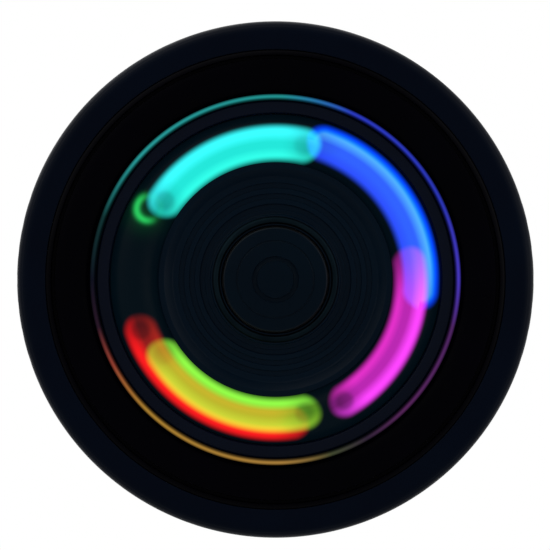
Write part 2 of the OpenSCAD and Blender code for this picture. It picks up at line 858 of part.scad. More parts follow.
module clip_base() {
    color([0.03, 0.032, 0.04])
        difference() {
            union() {
                translate([0, 0, jaw_face]) linear_extrude(base_t)
                    round_rect(-base_reach, base_edge, -base_l / 2, base_l / 2, base_corner_r);
                for (side = [-1, 1]) {
                    y0 = side > 0 ? ear_y : -ear_y - ear_t;
                    rod(hinge_x, hinge_z, ear_r, y0, y0 + ear_t);
                    block(hinge_x - ear_r, hinge_x + ear_r, y0, y0 + ear_t, hinge_z, jaw_face + over);
                }
            }
            rod(hinge_x, hinge_z, pin_d / 2 + fit_gap / 2, -ear_y - ear_t - over, ear_y + ear_t + over);
            translate([0, 0, jaw_face - over]) linear_extrude(over + pad_seat) pad_plan(fit_gap);
            base_screw_places() {
                translate([0, 0, jaw_face - over])
                    cylinder(d = base_screw_d + 2 * shank_gap, h = base_t + 2 * over);
                translate([0, 0, jaw_face - fit_gap])
                    cylinder(d1 = base_head_d + 4 * fit_gap, d2 = base_screw_d + 2 * shank_gap,
                             h = base_head_h + fit_gap);
            }
        }
}

// Countersunk screws that hold the clip base
module base_screws() {
    color([0.55, 0.56, 0.58])
        base_screw_places()
            difference() {
                union() {
                    translate([0, 0, jaw_face])
                        cylinder(d1 = base_head_d, d2 = base_screw_d, h = base_head_h);
                    translate([0, 0, jaw_face])
                        cylinder(d = base_screw_d - 2 * fit_gap, h = base_t + base_screw_depth - tip_room);
                }
                cross_recess(base_head_d / 2, jaw_face);
            }
}

// Rubber pads: a grooved pad on each side of the spoke, with a lead-in at the mouth
module pad_plan(grow) {
    half_l = lever_half - pad_inset + grow;
    round_rect(-jaw_reach - grow, jaw_root + grow, -half_l, half_l, pad_corner_r);
}

module pad() {
    difference() {
        translate([0, 0, jaw_gap / 2]) linear_extrude(pad_h + pad_seat) pad_plan(0);
        rod(0, 0, spoke_d / 2, -lever_half - over, lever_half + over);
        along_spoke(-lever_half - over, lever_half + over)
            polygon([
                [-jaw_reach - over, -over],
                [-jaw_reach + lead_w, jaw_gap / 2],
                [-jaw_reach - over, jaw_gap / 2 + lead_depth]
            ]);
    }
}

module spoke_pad() {
    color([0.05, 0.05, 0.055]) pad();
}

module jaw_pad() {
    color([0.05, 0.05, 0.055]) mirror([0, 0, 1]) pad();
}

// Clip lever: a jaw plate with a sunk panel and a flared thumb tab, on two knuckles,
// with a window for the spring
module lever_profile() {
    root_x = hinge_x + tab_back;
    end_x = hinge_x + tab_l;
    drop = (end_x - root_x) * tan(tab_flare);
    polygon([
        [-lever_reach + lever_t / 2, -jaw_face],
        [root_x, -jaw_face],
        [end_x, -jaw_face - drop],
        [end_x, -jaw_face - drop - tab_tip_t],
        [root_x, -jaw_face - lever_t],
        [-lever_reach + lever_t / 2, -jaw_face - lever_t]
    ]);
    translate([-lever_reach + lever_t / 2, -jaw_face - lever_t / 2]) circle(lever_t / 2);
}

module clip_lever() {
    root_x = hinge_x + tab_back;
    end_x = hinge_x + tab_l;
    knuckle_y = ear_y - run_gap;
    rib_z = jaw_face + lever_t;
    ridge_step = (end_x - root_x - ridge_margin) / tab_ridges;
    ridge_half = lever_half - lever_corner_r;
    rib_y = lever_half - flange_rib_t / 2;
    panel_half = lever_half - flange_rib_t - panel_inset;
    color([0.03, 0.032, 0.04])
        difference() {
            union() {
                intersection() {
                    along_spoke(-lever_half, lever_half) lever_profile();
                    translate([0, 0, -lever_cut]) linear_extrude(lever_cut)
                        round_rect(-lever_reach, end_x, -lever_half, lever_half, lever_corner_r);
                }
                rod(hinge_x, hinge_z, knuckle_r, -knuckle_y, knuckle_y);
                for (side = [-1, 1])
                    block(-lever_reach + lever_corner_r, hinge_x - ear_r - ear_room,
                          side * rib_y - flange_rib_t / 2, side * rib_y + flange_rib_t / 2,
                          -rib_z - flange_rib_h, -rib_z + over);
                for (i = [0 : tab_ridges - 1]) {
                    x = root_x + ridge_margin + (i + 0.5) * ridge_step;
                    share = (x - root_x) / (end_x - root_x);
                    low = rib_z + (x - root_x) * tan(tab_flare) - (lever_t - tab_tip_t) * share;
                    rod(x, -low, ridge_d / 2, -ridge_half, ridge_half);
                }
            }
            rod(hinge_x, hinge_z, pin_d / 2 + pin_gap, -lever_half - over, lever_half + over);
            block(hinge_x - window_reach, hinge_x + window_reach,
                  -window_half, window_half, -lever_cut, lever_t);
            for (side = [-1, 1])
                block(hinge_x - ear_r - ear_room, hinge_x + ear_r + ear_room,
                      side > 0 ? knuckle_y : -lever_half - over,
                      side > 0 ? lever_half + over : -knuckle_y,
                      -lever_cut, lever_t);
            mirror([0, 0, 1]) translate([0, 0, jaw_face - over])
                linear_extrude(over + pad_seat) pad_plan(fit_gap);
            translate([0, 0, -rib_z - over]) linear_extrude(over + panel_depth)
                round_rect(-lever_reach + lever_corner_r, hinge_x - ear_r - ear_room - panel_inset,
                           -panel_half, panel_half, panel_corner_r);
        }
}

// Hinge pin with a head at its upper end
module hinge_pin() {
    end = ear_y + ear_t;
    color([0.6, 0.61, 0.63]) {
        rod(hinge_x, hinge_z, pin_d / 2, -end, end + pin_head_t);
        rod(hinge_x, hinge_z, pin_head_r, end, end + pin_head_t);
    }
}

// Torsion spring: one wire from the base plate, round the pin and on to the lever's window
spring_sides = 6;
rings_per_turn = 8;
helix_steps = rings_per_turn * coil_turns + rings_per_turn / 4;
helix_top = (coil_turns + 0.25) * coil_pitch / 2;

function helix_angle(i) = -360 * i / rings_per_turn;
function helix_y(i) = helix_top - coil_pitch * i / rings_per_turn;
function radial(a) = [cos(a), 0, sin(a)];
function coil_point(i) =
    [hinge_x, helix_y(i), hinge_z] + coil_r * radial(helix_angle(i));

base_leg_end = [hinge_x + coil_r, helix_y(0), jaw_face];
lever_leg_end = [hinge_x - window_reach, helix_y(helix_steps), leg_z];
spring_path = concat(
    [base_leg_end, [base_leg_end[0], base_leg_end[1], jaw_face - wire_d]],
    [for (i = [0 : helix_steps]) coil_point(i)],
    [[lever_leg_end[0] + wire_d, lever_leg_end[1], leg_z], lever_leg_end]
);
last_ring = len(spring_path) - 1;

// The wire's cross-section at each ring: outwards from the pin, and square to the wire
function ring_out(k) = radial(helix_angle(min(max(k - 2, 0), helix_steps)));
function unit(v) = v / norm(v);
function ring_ahead(k) = unit(spring_path[min(k + 1, last_ring)] - spring_path[max(k - 1, 0)]);
function ring_point(k, s) =
    let (out = ring_out(k), side = unit(cross(ring_ahead(k), out)), a = 360 * s / spring_sides)
    spring_path[k] + wire_d / 2 * (cos(a) * out + sin(a) * side);

// Least gap between two turns, over pairs of points at least half a turn apart
spring_gap = min([
    for (i = [0 : last_ring - 5], j = [i + rings_per_turn / 2 + 1 : last_ring])
        norm(spring_path[i] - spring_path[j])
]) - wire_d;
echo(str("least gap between the spring's turns: ", spring_gap, " mm"));

module clip_spring() {
    n = spring_sides;
    points = [for (k = [0 : last_ring], s = [0 : n - 1]) ring_point(k, s)];
    walls = [
        for (k = [0 : last_ring - 1], s = [0 : n - 1], half = [0, 1])
            let (a = k * n + s, b = k * n + (s + 1) % n)
            half == 0 ? [a, a + n, b] : [b, a + n, b + n]
    ];
    start_cap = [for (s = [1 : n - 2]) [0, s, s + 1]];
    end_cap = [for (s = [1 : n - 2]) [last_ring * n, last_ring * n + s + 1, last_ring * n + s]];
    color([0.7, 0.71, 0.73])
        polyhedron(points, concat(walls, start_cap, end_cap));
}

mounted() rear_housing();
mounted() bumper_ring();
mounted() case_gasket();
mounted() case_screws();
mounted() front_bezel();
mounted() trim_ring();
mounted() light_guide();
mounted() center_dish();
mounted() button_ring();
mounted() button_cap();
mounted() button_oring();
mounted() switch_plunger();
mounted() tact_switch();
mounted() reflector();
mounted() circuit_board();
mounted() leds();
mounted() controller_chip();
mounted() resistors();
mounted() capacitors();
mounted() upper_contact();
mounted() lower_contact();
mounted() battery_tray();
mounted() tray_gasket();
mounted() coin_cell_front();
mounted() coin_cell_rear();
mounted() clip_base();
mounted() base_screws();
mounted() spoke_pad();
mounted() clip_lever();
mounted() jaw_pad();
mounted() hinge_pin();
mounted() clip_spring();
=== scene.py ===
import math

import bpy
import numpy as np
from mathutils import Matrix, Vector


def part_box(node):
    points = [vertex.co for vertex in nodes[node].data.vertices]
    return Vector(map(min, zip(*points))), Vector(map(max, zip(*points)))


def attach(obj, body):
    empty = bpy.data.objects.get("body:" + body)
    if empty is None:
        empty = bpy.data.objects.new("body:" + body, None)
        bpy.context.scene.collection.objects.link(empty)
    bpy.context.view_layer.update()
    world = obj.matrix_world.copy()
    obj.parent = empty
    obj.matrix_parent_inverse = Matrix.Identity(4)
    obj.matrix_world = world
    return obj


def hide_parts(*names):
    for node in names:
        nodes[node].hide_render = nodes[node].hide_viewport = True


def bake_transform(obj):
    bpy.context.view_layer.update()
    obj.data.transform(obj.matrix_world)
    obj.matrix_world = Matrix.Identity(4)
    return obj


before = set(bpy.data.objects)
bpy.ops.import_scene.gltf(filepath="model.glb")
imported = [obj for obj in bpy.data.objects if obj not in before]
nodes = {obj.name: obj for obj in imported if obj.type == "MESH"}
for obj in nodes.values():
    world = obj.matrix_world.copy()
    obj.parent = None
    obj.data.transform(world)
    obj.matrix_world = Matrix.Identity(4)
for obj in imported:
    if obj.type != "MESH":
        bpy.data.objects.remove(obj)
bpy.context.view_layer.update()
mm = 0.001  # sizes of the pieces are in millimetres, and heights are along the lamp's axis
print("frame loaded:", len(nodes), "nodes")


# Surfaces

# A rounding takes at most cornerShare of an edge, and edges turn sharp past sharpAngle, in degrees
meshing = {"cornerSteps": 7, "cornerShare": 0.48, "leastStep": 0.001, "sharpAngle": 40}


# A smooth step from 0 at lo to 1 at hi
def smoothStep(lo, hi, value):
    t = np.clip((value - lo) / (hi - lo), 0, 1)
    return t * t * (3 - 2 * t)


# Rounds the corners of an outline: each row is (radius, height, rounding), and each corner becomes
# an arc that touches both of its edges. An open outline keeps its two end rows as they are.
def rounded(corners, closed=True):
    steps = meshing["cornerSteps"]
    rows = np.asarray(corners, float)
    p = rows[:, :2]
    toPrev = np.roll(p, 1, axis=0) - p
    toNext = np.roll(p, -1, axis=0) - p
    lenPrev = np.linalg.norm(toPrev, axis=1, keepdims=True)
    lenNext = np.linalg.norm(toNext, axis=1, keepdims=True)
    u = toPrev / lenPrev
    v = toNext / lenNext
    half = np.arccos(np.clip((u * v).sum(1, keepdims=True), -1, 1)) / 2
    room = meshing["cornerShare"] * np.minimum(lenPrev, lenNext)
    back = np.minimum(rows[:, 2:] / np.tan(half), room)
    r = back * np.tan(half)
    bisector = (u + v) / np.linalg.norm(u + v, axis=1, keepdims=True)
    centre = p + bisector * r / np.sin(half)
    first = p + u * back - centre
    last = p + v * back - centre
    sweep = (np.pi - 2 * half)[:, None]
    t = np.linspace(0, 1, steps)[None, :, None]
    bend = np.sin((1 - t) * sweep) * first[:, None] + np.sin(t * sweep) * last[:, None]
    line = (centre[:, None] + bend / np.sin(sweep)).reshape(-1, 2)
    if closed:
        return line
    return np.concatenate([p[:1], line[steps:-steps], p[-1:]])


# Adds points to a closed outline so that no stretch is longer than step
def evenly(line, step):
    path = np.concatenate([line, line[:1]])
    along = np.concatenate([[0], np.cumsum(np.linalg.norm(np.diff(path, axis=0), axis=1))])
    places = np.union1d(along, np.arange(0, along[-1], step))
    places = places[np.concatenate([[True], np.diff(places) > meshing["leastStep"]])]
    dense = np.stack([np.interp(places, along, path[:, k]) for k in (0, 1)], axis=1)
    return dense[:-1]


# An arc from angle a0 to a1, in degrees, about a centre (radius, height)
def arc(centre, r, a0, a1, count):
    a = np.radians(np.linspace(a0, a1, count))
    return np.stack([centre[0] + r * np.cos(a), centre[1] + r * np.sin(a)], axis=1)


# Carries points (r, h) round the lamp's axis: at angle a they go to (r cos a, -h, r sin a)
def aroundAxis(r, h, a):
    return np.stack([r * np.cos(a), -h + 0 * a, r * np.sin(a)], axis=-1) * mm


# Turns an outline about the lamp's axis in equal steps
def turned(line, steps):
    a = np.linspace(0, 2 * np.pi, steps, endpoint=False)[:, None]
    return aroundAxis(line[:, 0], line[:, 1], a)


# Quads between neighbours of a grid of points, with its far edges joined where it is closed
def gridQuads(nu, nv, closeU=True, closeV=True):
    index = np.arange(nu * nv).reshape(nu, nv)
    if closeU:
        index = np.concatenate([index, index[:1]])
    if closeV:
        index = np.concatenate([index, index[:, :1]], axis=1)
    corners = [index[:-1, :-1], index[1:, :-1], index[1:, 1:], index[:-1, 1:]]
    return np.stack(corners, axis=-1).reshape(-1, 4)


# A mesh object from points and groups of faces with equal corner counts. The signed volume of a closed
# shape tells whether its faces point outwards, and they are turned over if they don't.
def addMesh(name, points, groups, closed=True):
    volume = 0
    for g in groups:
        first = points[g[:, 0]]
        for k in range(1, g.shape[1] - 1):
            volume += (first * np.cross(points[g[:, k]], points[g[:, k + 1]])).sum()
    if closed and volume < 0:
        groups = [g[:, ::-1] for g in groups]
    corners = np.concatenate([g.ravel() for g in groups]).astype(np.int32)
    sizes = np.concatenate([np.full(len(g), g.shape[1]) for g in groups])
    mesh = bpy.data.meshes.new(name)
    mesh.vertices.add(len(points))
    mesh.vertices.foreach_set("co", points.astype(np.float32).ravel())
    mesh.loops.add(len(corners))
    mesh.loops.foreach_set("vertex_index", corners)
    mesh.polygons.add(len(sizes))
    mesh.polygons.foreach_set("loop_start", (np.cumsum(sizes) - sizes).astype(np.int32))
    mesh.update(calc_edges=True)
    mesh.validate()
    mesh.shade_smooth()
    mesh.set_sharp_from_angle(angle=math.radians(meshing["sharpAngle"]))
    piece = bpy.data.objects.new(name, mesh)
    bpy.context.scene.collection.objects.link(piece)
    return piece


# A closed ring from a grid of points whose rows are its sections
def addLoop(name, grid):
    return addMesh(name, grid.reshape(-1, 3), [gridQuads(*grid.shape[:2])])


# A solid of revolution: an outline from axis to axis, with one point at each pole
def addTurnedSolid(name, line, steps):
    grid = turned(line[1:-1], steps)
    nu, nv = grid.shape[:2]
    poles = turned(line[[0, -1]], 1)[0]
    ring = np.arange(nu) * nv
    after = np.roll(ring, -1)
    top = np.stack([np.full(nu, nu * nv), after, ring], axis=1)
    bottom = np.stack([np.full(nu, nu * nv + 1), ring + nv - 1, after + nv - 1], axis=1)
    points = np.concatenate([grid.reshape(-1, 3), poles])
    return addMesh(name, points, [gridQuads(nu, nv, True, False), top, bottom])


# A tube or bar: rings of points along a path, closed by a flat face at each end
def addBar(name, grid):
    nu, nv = grid.shape[:2]
    ends = np.stack([np.arange(nv)[::-1], np.arange(nv) + (nu - 1) * nv])
    return addMesh(name, grid.reshape(-1, 3), [gridQuads(nu, nv, False, True), ends])


# Settles a finished piece: what it rides on, what it stands for, and its finish
def settle(piece, body, node, finish):
    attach(piece, body)
    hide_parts(node)
    piece.data.materials.append(finish)


# Node helpers for the finishes

mixSockets = {"first": 6, "second": 7, "result": 2}  # the colour sockets of a Mix node, by number
softEdge = {"samples": 4, "bent": 0.8, "flat": 0.99}  # cosines at which wear is full and at which it starts


# A node with its settings and the values of its own sockets
def addNode(tree, kind, inputs=None, **attributes):
    made = tree.nodes.new(kind)
    for key, value in attributes.items():
        setattr(made, key, value)
    for key, value in (inputs or {}).items():
        made.inputs[key].default_value = value
    return made


def newFinish(name):
    finish = bpy.data.materials.new(name)
    finish.use_nodes = True
    tree = finish.node_tree
    return finish, tree, tree.nodes["Principled BSDF"]


def objectPlace(tree):
    return addNode(tree, "ShaderNodeTexCoord").outputs["Object"]


def lengthOf(tree, vector):
    made = addNode(tree, "ShaderNodeVectorMath", operation="LENGTH")
    tree.links.new(vector, made.inputs[0])
    return made.outputs["Value"]


# Noise on object coordinates, stretched along an axis where a scale is given; scales are per metre
def addNoise(tree, scale, detail=4, stretch=None):
    place = objectPlace(tree)
    if stretch:
        mapping = addNode(tree, "ShaderNodeMapping", {"Scale": stretch})
        tree.links.new(place, mapping.inputs["Vector"])
        place = mapping.outputs["Vector"]
    noise = addNode(tree, "ShaderNodeTexNoise", {"Scale": scale, "Detail": detail})
    tree.links.new(place, noise.inputs["Vector"])
    return noise.outputs["Fac"]


# Noise by the distance from a node's middle, seen along the lamp's axis: fine rings, as on spun metal
def addRings(tree, node, scale):
    low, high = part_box(node)
    middle = (low + high) / 2
    flat = addNode(tree, "ShaderNodeMapping", {"Location": (-middle.x, 0, -middle.z), "Scale": (1, 0, 1)})
    tree.links.new(objectPlace(tree), flat.inputs["Vector"])
    rings = addNode(tree, "ShaderNodeTexNoise", noise_dimensions="1D")
    rings.inputs["Scale"].default_value = scale
    tree.links.new(lengthOf(tree, flat.outputs["Vector"]), rings.inputs["W"])
    return rings.outputs["Fac"]


# Carries a value from one range to another; the usual range is where most of a noise lies
def rangeOf(tree, value, lo, hi, fromLo=0.3, fromHi=0.7, **attributes):
    limits = {"From Min": fromLo, "From Max": fromHi, "To Min": lo, "To Max": hi}
    made = addNode(tree, "ShaderNodeMapRange", limits, **attributes)
    tree.links.new(value, made.inputs["Value"])
    return made.outputs["Result"]


# Two values joined by a Math node
def joined(tree, operation, first, second):
    made = addNode(tree, "ShaderNodeMath", operation=operation)
    tree.links.new(first, made.inputs[0])
    tree.links.new(second, made.inputs[1])
    return made.outputs["Value"]


# From the first colour to the second by a share; a colour is written out or comes from another node
def mixColours(tree, share, first, second):
    made = addNode(tree, "ShaderNodeMix", data_type="RGBA")
    tree.links.new(share, made.inputs["Factor"])
    for key, colour in (("first", first), ("second", second)):
        socket = made.inputs[mixSockets[key]]
        if isinstance(colour, tuple):
            socket.default_value = (*colour, 1)
        else:
            tree.links.new(colour, socket)
    return made.outputs[mixSockets["result"]]


def mixShaders(tree, share, first, second):
    made = addNode(tree, "ShaderNodeMixShader")
    tree.links.new(share, made.inputs["Fac"])
    tree.links.new(first, made.inputs[1])
    tree.links.new(second, made.inputs[2])
    return made.outputs["Shader"]


# The normal of a surface whose edges are rounded over a distance
def softNormal(tree, distance):
    made = addNode(tree, "ShaderNodeBevel", {"Radius": distance * mm}, samples=softEdge["samples"])
    return made.outputs["Normal"]


# How far the surface turns within a small distance: 0 on flats, towards 1 on edges
def edgeShare(tree, distance):
    dot = addNode(tree, "ShaderNodeVectorMath", operation="DOT_PRODUCT")
    tree.links.new(softNormal(tree, distance), dot.inputs[0])
    tree.links.new(addNode(tree, "ShaderNodeNewGeometry").outputs["Normal"], dot.inputs[1])
    return rangeOf(tree, dot.outputs["Value"], 1, 0, softEdge["bent"], softEdge["flat"])


# Share of the way from a front height to a back height along the lamp's axis, where a front painted darker
# as shade gives way to the plain colour behind
def outOfPaintedShade(tree, front, back):
    split = addNode(tree, "ShaderNodeSeparateXYZ")
    tree.links.new(objectPlace(tree), split.inputs["Vector"])
    return rangeOf(tree, split.outputs["Y"], 0, 1, -front * mm, -back * mm)


# A fine relief on the shader's normal, over soft edges where the finish has them
def addRelief(tree, shader, height, s):
    bump = addNode(tree, "ShaderNodeBump", {"Strength": s["bump"], "Distance": s["depth"] * mm})
    tree.links.new(height, bump.inputs["Height"])
    if "edge" in s:
        tree.links.new(softNormal(tree, s["edge"]), bump.inputs["Normal"])
    tree.links.new(bump.outputs["Normal"], shader.inputs["Normal"])


# Finishes: settings that a finish doesn't give are those of its kind

moulded = {"patch": 90, "grain": 2600, "smear": 320, "rub": 260, "rubShare": (0.15, 0.9),
           "specular": 0.4, "slant": (0.1, 0.5), "bump": 0.15, "depth": 0.05}
metal = {"patch": 240, "tarnish": (0.35, 0.75), "lines": 1800, "stretch": (1, 1, 0.06),
         "bump": 0.12, "depth": 0.02}


# Moulded plastic and rubber: two close shades in soft patches, a fine grain in the relief and uneven gloss,
# and where the finish has them paler rubbed edges, gloss that grows with the slant of the view, and a front
# painted darker as shade that gives way behind a height to the plain colour
def mouldedFinish(name, own):
    s = {**moulded, **own}
    finish, tree, shader = newFinish(name)
    patches = rangeOf(tree, addNoise(tree, s["patch"], detail=5), 0, 1)
    colour = mixColours(tree, patches, s["shade"], s["colour"])
    if "wear" in s:
        uneven = rangeOf(tree, addNoise(tree, s["rub"], detail=6), *s["rubShare"])
        rubbed = joined(tree, "MULTIPLY", edgeShare(tree, s["edge"]), uneven)
        colour = mixColours(tree, rubbed, colour, s["wear"])
    specular = shader.inputs["Specular IOR Level"]
    specular.default_value = s["specular"]
    if "slantSpecular" in s:
        facing = addNode(tree, "ShaderNodeLayerWeight", {"Blend": 0.5}).outputs["Facing"]
        gloss = rangeOf(tree, facing, s["specular"], s["slantSpecular"], *s["slant"])
        # A front painted darker as shade, with the plain colour behind the given heights
        if "behind" in s:
            share = outOfPaintedShade(tree, *s["behindHeights"])
            colour = mixColours(tree, share, colour, s["behind"])
            gloss = joined(tree, "MAXIMUM", gloss, rangeOf(tree, share, 0, s["behindSpecular"], 0, 1))
        tree.links.new(gloss, specular)
    smear = rangeOf(tree, addNoise(tree, s["smear"], detail=6), *s["rough"])
    tree.links.new(colour, shader.inputs["Base Color"])
    tree.links.new(smear, shader.inputs["Roughness"])
    addRelief(tree, shader, addNoise(tree, s["grain"], detail=3), s)
    return finish


# Metal: fine drawn or spun lines in relief and roughness, with faint tarnish in patches
def metalFinish(name, own):
    s = {**metal, **own}
    finish, tree, shader = newFinish(name)
    tarnish = rangeOf(tree, addNoise(tree, s["patch"], detail=6), 0, 1, *s["tarnish"])
    if "spunAbout" in s:
        lines = addRings(tree, s["spunAbout"], s["lines"])
    else:
        lines = addNoise(tree, s["lines"], detail=3, stretch=s["stretch"])
    tree.links.new(mixColours(tree, tarnish, s["colour"], s["shade"]), shader.inputs["Base Color"])
    tree.links.new(rangeOf(tree, lines, *s["rough"]), shader.inputs["Roughness"])
    addRelief(tree, shader, lines, s)
    shader.inputs["Metallic"].default_value = 1
    return finish


plastics = {
    "housingPlastic": {
        "colour": (0.017, 0.021, 0.032), "shade": (0.011, 0.014, 0.022), "wear": (0.06, 0.065, 0.08),
        "rough": (0.46, 0.58), "bump": 0.35, "edge": 0.2, "specular": 0.35},
    "clipPlastic": {
        "colour": (0.018, 0.02, 0.026), "shade": (0.012, 0.013, 0.018), "wear": (0.065, 0.068, 0.075),
        "rough": (0.44, 0.57), "bump": 0.35, "edge": 0.25, "specular": 0.35},
    # Rubber bumper: colour and shade are its face painted darker as shade; behind that it has its plain
    # colour
    "bumperRubber": {
        "colour": (0.0003, 0.0015, 0.005), "shade": (0.0002, 0.0011, 0.0039),
        "rough": (0.36, 0.5), "bump": 0.25, "grain": 1900, "specular": 0.02, "slantSpecular": 0.05,
        "behind": (0.011, 0.013, 0.019), "behindHeights": (12.3, 11.5), "behindSpecular": 0.3},
    "bezelPlastic": {
        "colour": (0.0002, 0.0001, 0.0009), "shade": (0.0001, 0.0001, 0.0005),
        "rough": (0.24, 0.34), "bump": 0.05, "specular": 0.01, "slantSpecular": 0.15},
    "trimPlastic": {
        "colour": (0.0004, 0.0018, 0.0067), "shade": (0.0003, 0.0014, 0.0055),
        "rough": (0.26, 0.36), "bump": 0.05, "specular": 0.04, "slantSpecular": 0.18},
    # Dish and button: dark smoked plastic whose teal tint is painted glow from the light guide
    "dishPlasticPaintedGlow": {
        "colour": (0.0002, 0.0036, 0.0086), "shade": (0.0001, 0.0028, 0.0072),
        "rough": (0.26, 0.36), "bump": 0.06, "specular": 0.03, "slantSpecular": 0.07},
    "buttonPlasticPaintedGlow": {
        "colour": (0.0002, 0.0028, 0.0062), "shade": (0.0001, 0.0021, 0.005),
        "rough": (0.3, 0.42), "bump": 0.12, "specular": 0.025, "slantSpecular": 0.18},
    "sealRubber": {
        "colour": (0.02, 0.02, 0.021), "shade": (0.013, 0.013, 0.014),
        "rough": (0.6, 0.8), "bump": 0.2, "specular": 0.3},
    "padRubber": {
        "colour": (0.034, 0.034, 0.038), "shade": (0.022, 0.022, 0.026),
        "rough": (0.65, 0.85), "bump": 0.35, "grain": 1600, "specular": 0.3},
    "switchPlastic": {"colour": (0.05, 0.05, 0.055), "shade": (0.035, 0.035, 0.04), "rough": (0.4, 0.6)},
    "whitePlastic": {"colour": (0.8, 0.8, 0.77), "shade": (0.7, 0.7, 0.66), "rough": (0.3, 0.45)},
    "ledPackage": {
        "colour": (0.85, 0.83, 0.7), "shade": (0.8, 0.72, 0.4), "rough": (0.2, 0.35), "patch": 400},
    "chipBlack": {"colour": (0.02, 0.02, 0.022), "shade": (0.013, 0.013, 0.015), "rough": (0.45, 0.65)},
    "capacitorTan": {
        "colour": (0.5, 0.36, 0.22), "shade": (0.4, 0.27, 0.15), "rough": (0.4, 0.6), "patch": 700},
    "boardGreen": {
        "colour": (0.02, 0.16, 0.07), "shade": (0.012, 0.1, 0.045), "rough": (0.25, 0.4), "patch": 500},
}
metals = {
    "screwSteel": {
        "colour": (0.46, 0.47, 0.49), "shade": (0.3, 0.31, 0.33), "rough": (0.25, 0.42), "edge": 0.12},
    "springSteel": {"colour": (0.6, 0.61, 0.63), "shade": (0.42, 0.43, 0.45), "rough": (0.18, 0.32)},
    "cellSteel": {
        "colour": (0.55, 0.56, 0.58), "shade": (0.44, 0.45, 0.46), "rough": (0.2, 0.44), "bump": 0.25,
        "spunAbout": "coin_cell_rear", "lines": 1400, "edge": 0.3},
    "contactBrass": {"colour": (0.75, 0.62, 0.35), "shade": (0.55, 0.43, 0.22), "rough": (0.22, 0.4)},
    "darkChrome": {"colour": (0.003, 0.0065, 0.009), "shade": (0.0015, 0.003, 0.0045), "rough": (0.35, 0.5)},
}
finishes = {name: mouldedFinish(name, own) for name, own in plastics.items()}
finishes.update({name: metalFinish(name, own) for name, own in metals.items()})
print("finishes made:", len(finishes))


# Light guide: a web with a round-crowned band and a rim line, lit by five colour trails and a crescent

band = {"inner": 15.9, "outer": 22.3, "straightTop": 12.6, "crown": 3.2, "crownSteps": 49, "steps": 1260,
        "dimGlow": (0.0006, 0.003, 0.0052)}
web = {"inner": 13.3, "outer": 28.65, "bottom": 11.0, "top": 12.0, "margin": 0.1}
rimLine = {"inner": 24.3, "outer": 25.0, "crownHeight": 14.65, "crownSteps": 17, "spread": 0.24}
smoke = {"colour": (0.0002, 0.001, 0.0018), "shade": (0.0001, 0.0008, 0.0014), "patch": 120,
         "rough": (0.38, 0.5), "smear": 900, "specular": 0.02}

# Radius of a trail's middle and half its width, the angles of its ends in degrees from the hinge side,
# anticlockwise seen from the front, how far each end fades, from how many half widths back, and how dark its
# painted shadow spot is, the drift along its length, how much its outer edge deepens, and its linear colours,
# the middle one darker as painted shadow of the button
trails = [
    {"mid": 19.5, "half": 2.22, "ends": (-4.4, 70.2),
     "fades": (0.35, 0.25), "reach": (2.2, 1.5), "shadowSpots": (0, 0), "drift": -0.08, "deepen": 2.2,
     "inner": (0.027, 0.085, 1.1), "middle": (0.03, 0.12, 1.0), "outer": (0.085, 0.46, 1.15)},
    {"mid": 18.34, "half": 2.16, "ends": (78.2, 144.4),
     "fades": (0.42, 0.45), "reach": (1.5, 1.5), "shadowSpots": (0.15, 0.28), "drift": -0.12, "deepen": 0,
     "inner": (0.032, 1.02, 0.84), "middle": (0.016, 0.8, 0.7), "outer": (0.044, 1.06, 1.08)},
    {"mid": 19.37, "half": 2.06, "ends": (200.8, 276.8),
     "fades": (0.63, 0.6), "reach": (1.5, 1.5), "shadowSpots": (0.4, 0.1), "drift": 0.04, "deepen": 0,
     "inner": (0.42, 0.014, 0.005), "middle": (0.3, 0.008, 0.004), "outer": (0.98, 0.006, 0.006)},
    {"mid": 18.25, "half": 2.1, "ends": (214.2, 282.2),
     "fades": (0.46, 0.44), "reach": (1.5, 1.5), "shadowSpots": (0.13, 0.3), "drift": 0.08, "deepen": 0,
     "inner": (0.3, 1.0, 0.06), "middle": (0.16, 0.45, 0.013), "outer": (0.3, 0.66, 0.028)},
    {"mid": 18.5, "half": 2.01, "ends": (-60.2, 7.2),
     "fades": (0.66, 0.72), "reach": (1.5, 3.2), "shadowSpots": (0.42, 0), "drift": -0.28, "deepen": 0,
     "inner": (0.78, 0.025, 0.59), "middle": (0.49, 0.016, 0.44), "outer": (1.0, 0.055, 1.0)},
]
trailShape = {"edge": (0.74, 1.28), "shadowSpot": (0.35, 0.8), "deep": (0.55, 1.05),  # in half widths
              "stops": (-0.74, -0.3, 0.05, 0.6)}
crescent = {"angle": 150.6, "radius": 19.5, "ring": 1.65, "width": 0.47, "colour": (0.02, 0.55, 0.1),
            "lean": (0.7, 0.71), "leanRange": (-0.5, 0.8), "least": 0.1,
            "halo": 0.06, "haloShift": 1.0, "haloRadius": 2.0}
rimStops = [  # angle and colour of the rim line
    (0, (0.06, 0.035, 0.5)), (25, (0.022, 0.033, 0.45)), (65, (0.022, 0.038, 0.52)),
    (88, (0.014, 0.28, 0.27)), (138, (0.02, 0.32, 0.31)), (160, (0.004, 0.03, 0.03)),
    (180, (0.003, 0.003, 0.01)), (195, (0.02, 0.006, 0.016)), (208, (0.28, 0.045, 0.025)),
    (225, (0.38, 0.2, 0.025)), (272, (0.38, 0.2, 0.04)), (288, (0.05, 0.06, 0.025)),
    (300, (0.03, 0.015, 0.035)), (315, (0.09, 0.016, 0.095)), (345, (0.075, 0.016, 0.12)),
    (360, (0.06, 0.035, 0.5)),
]


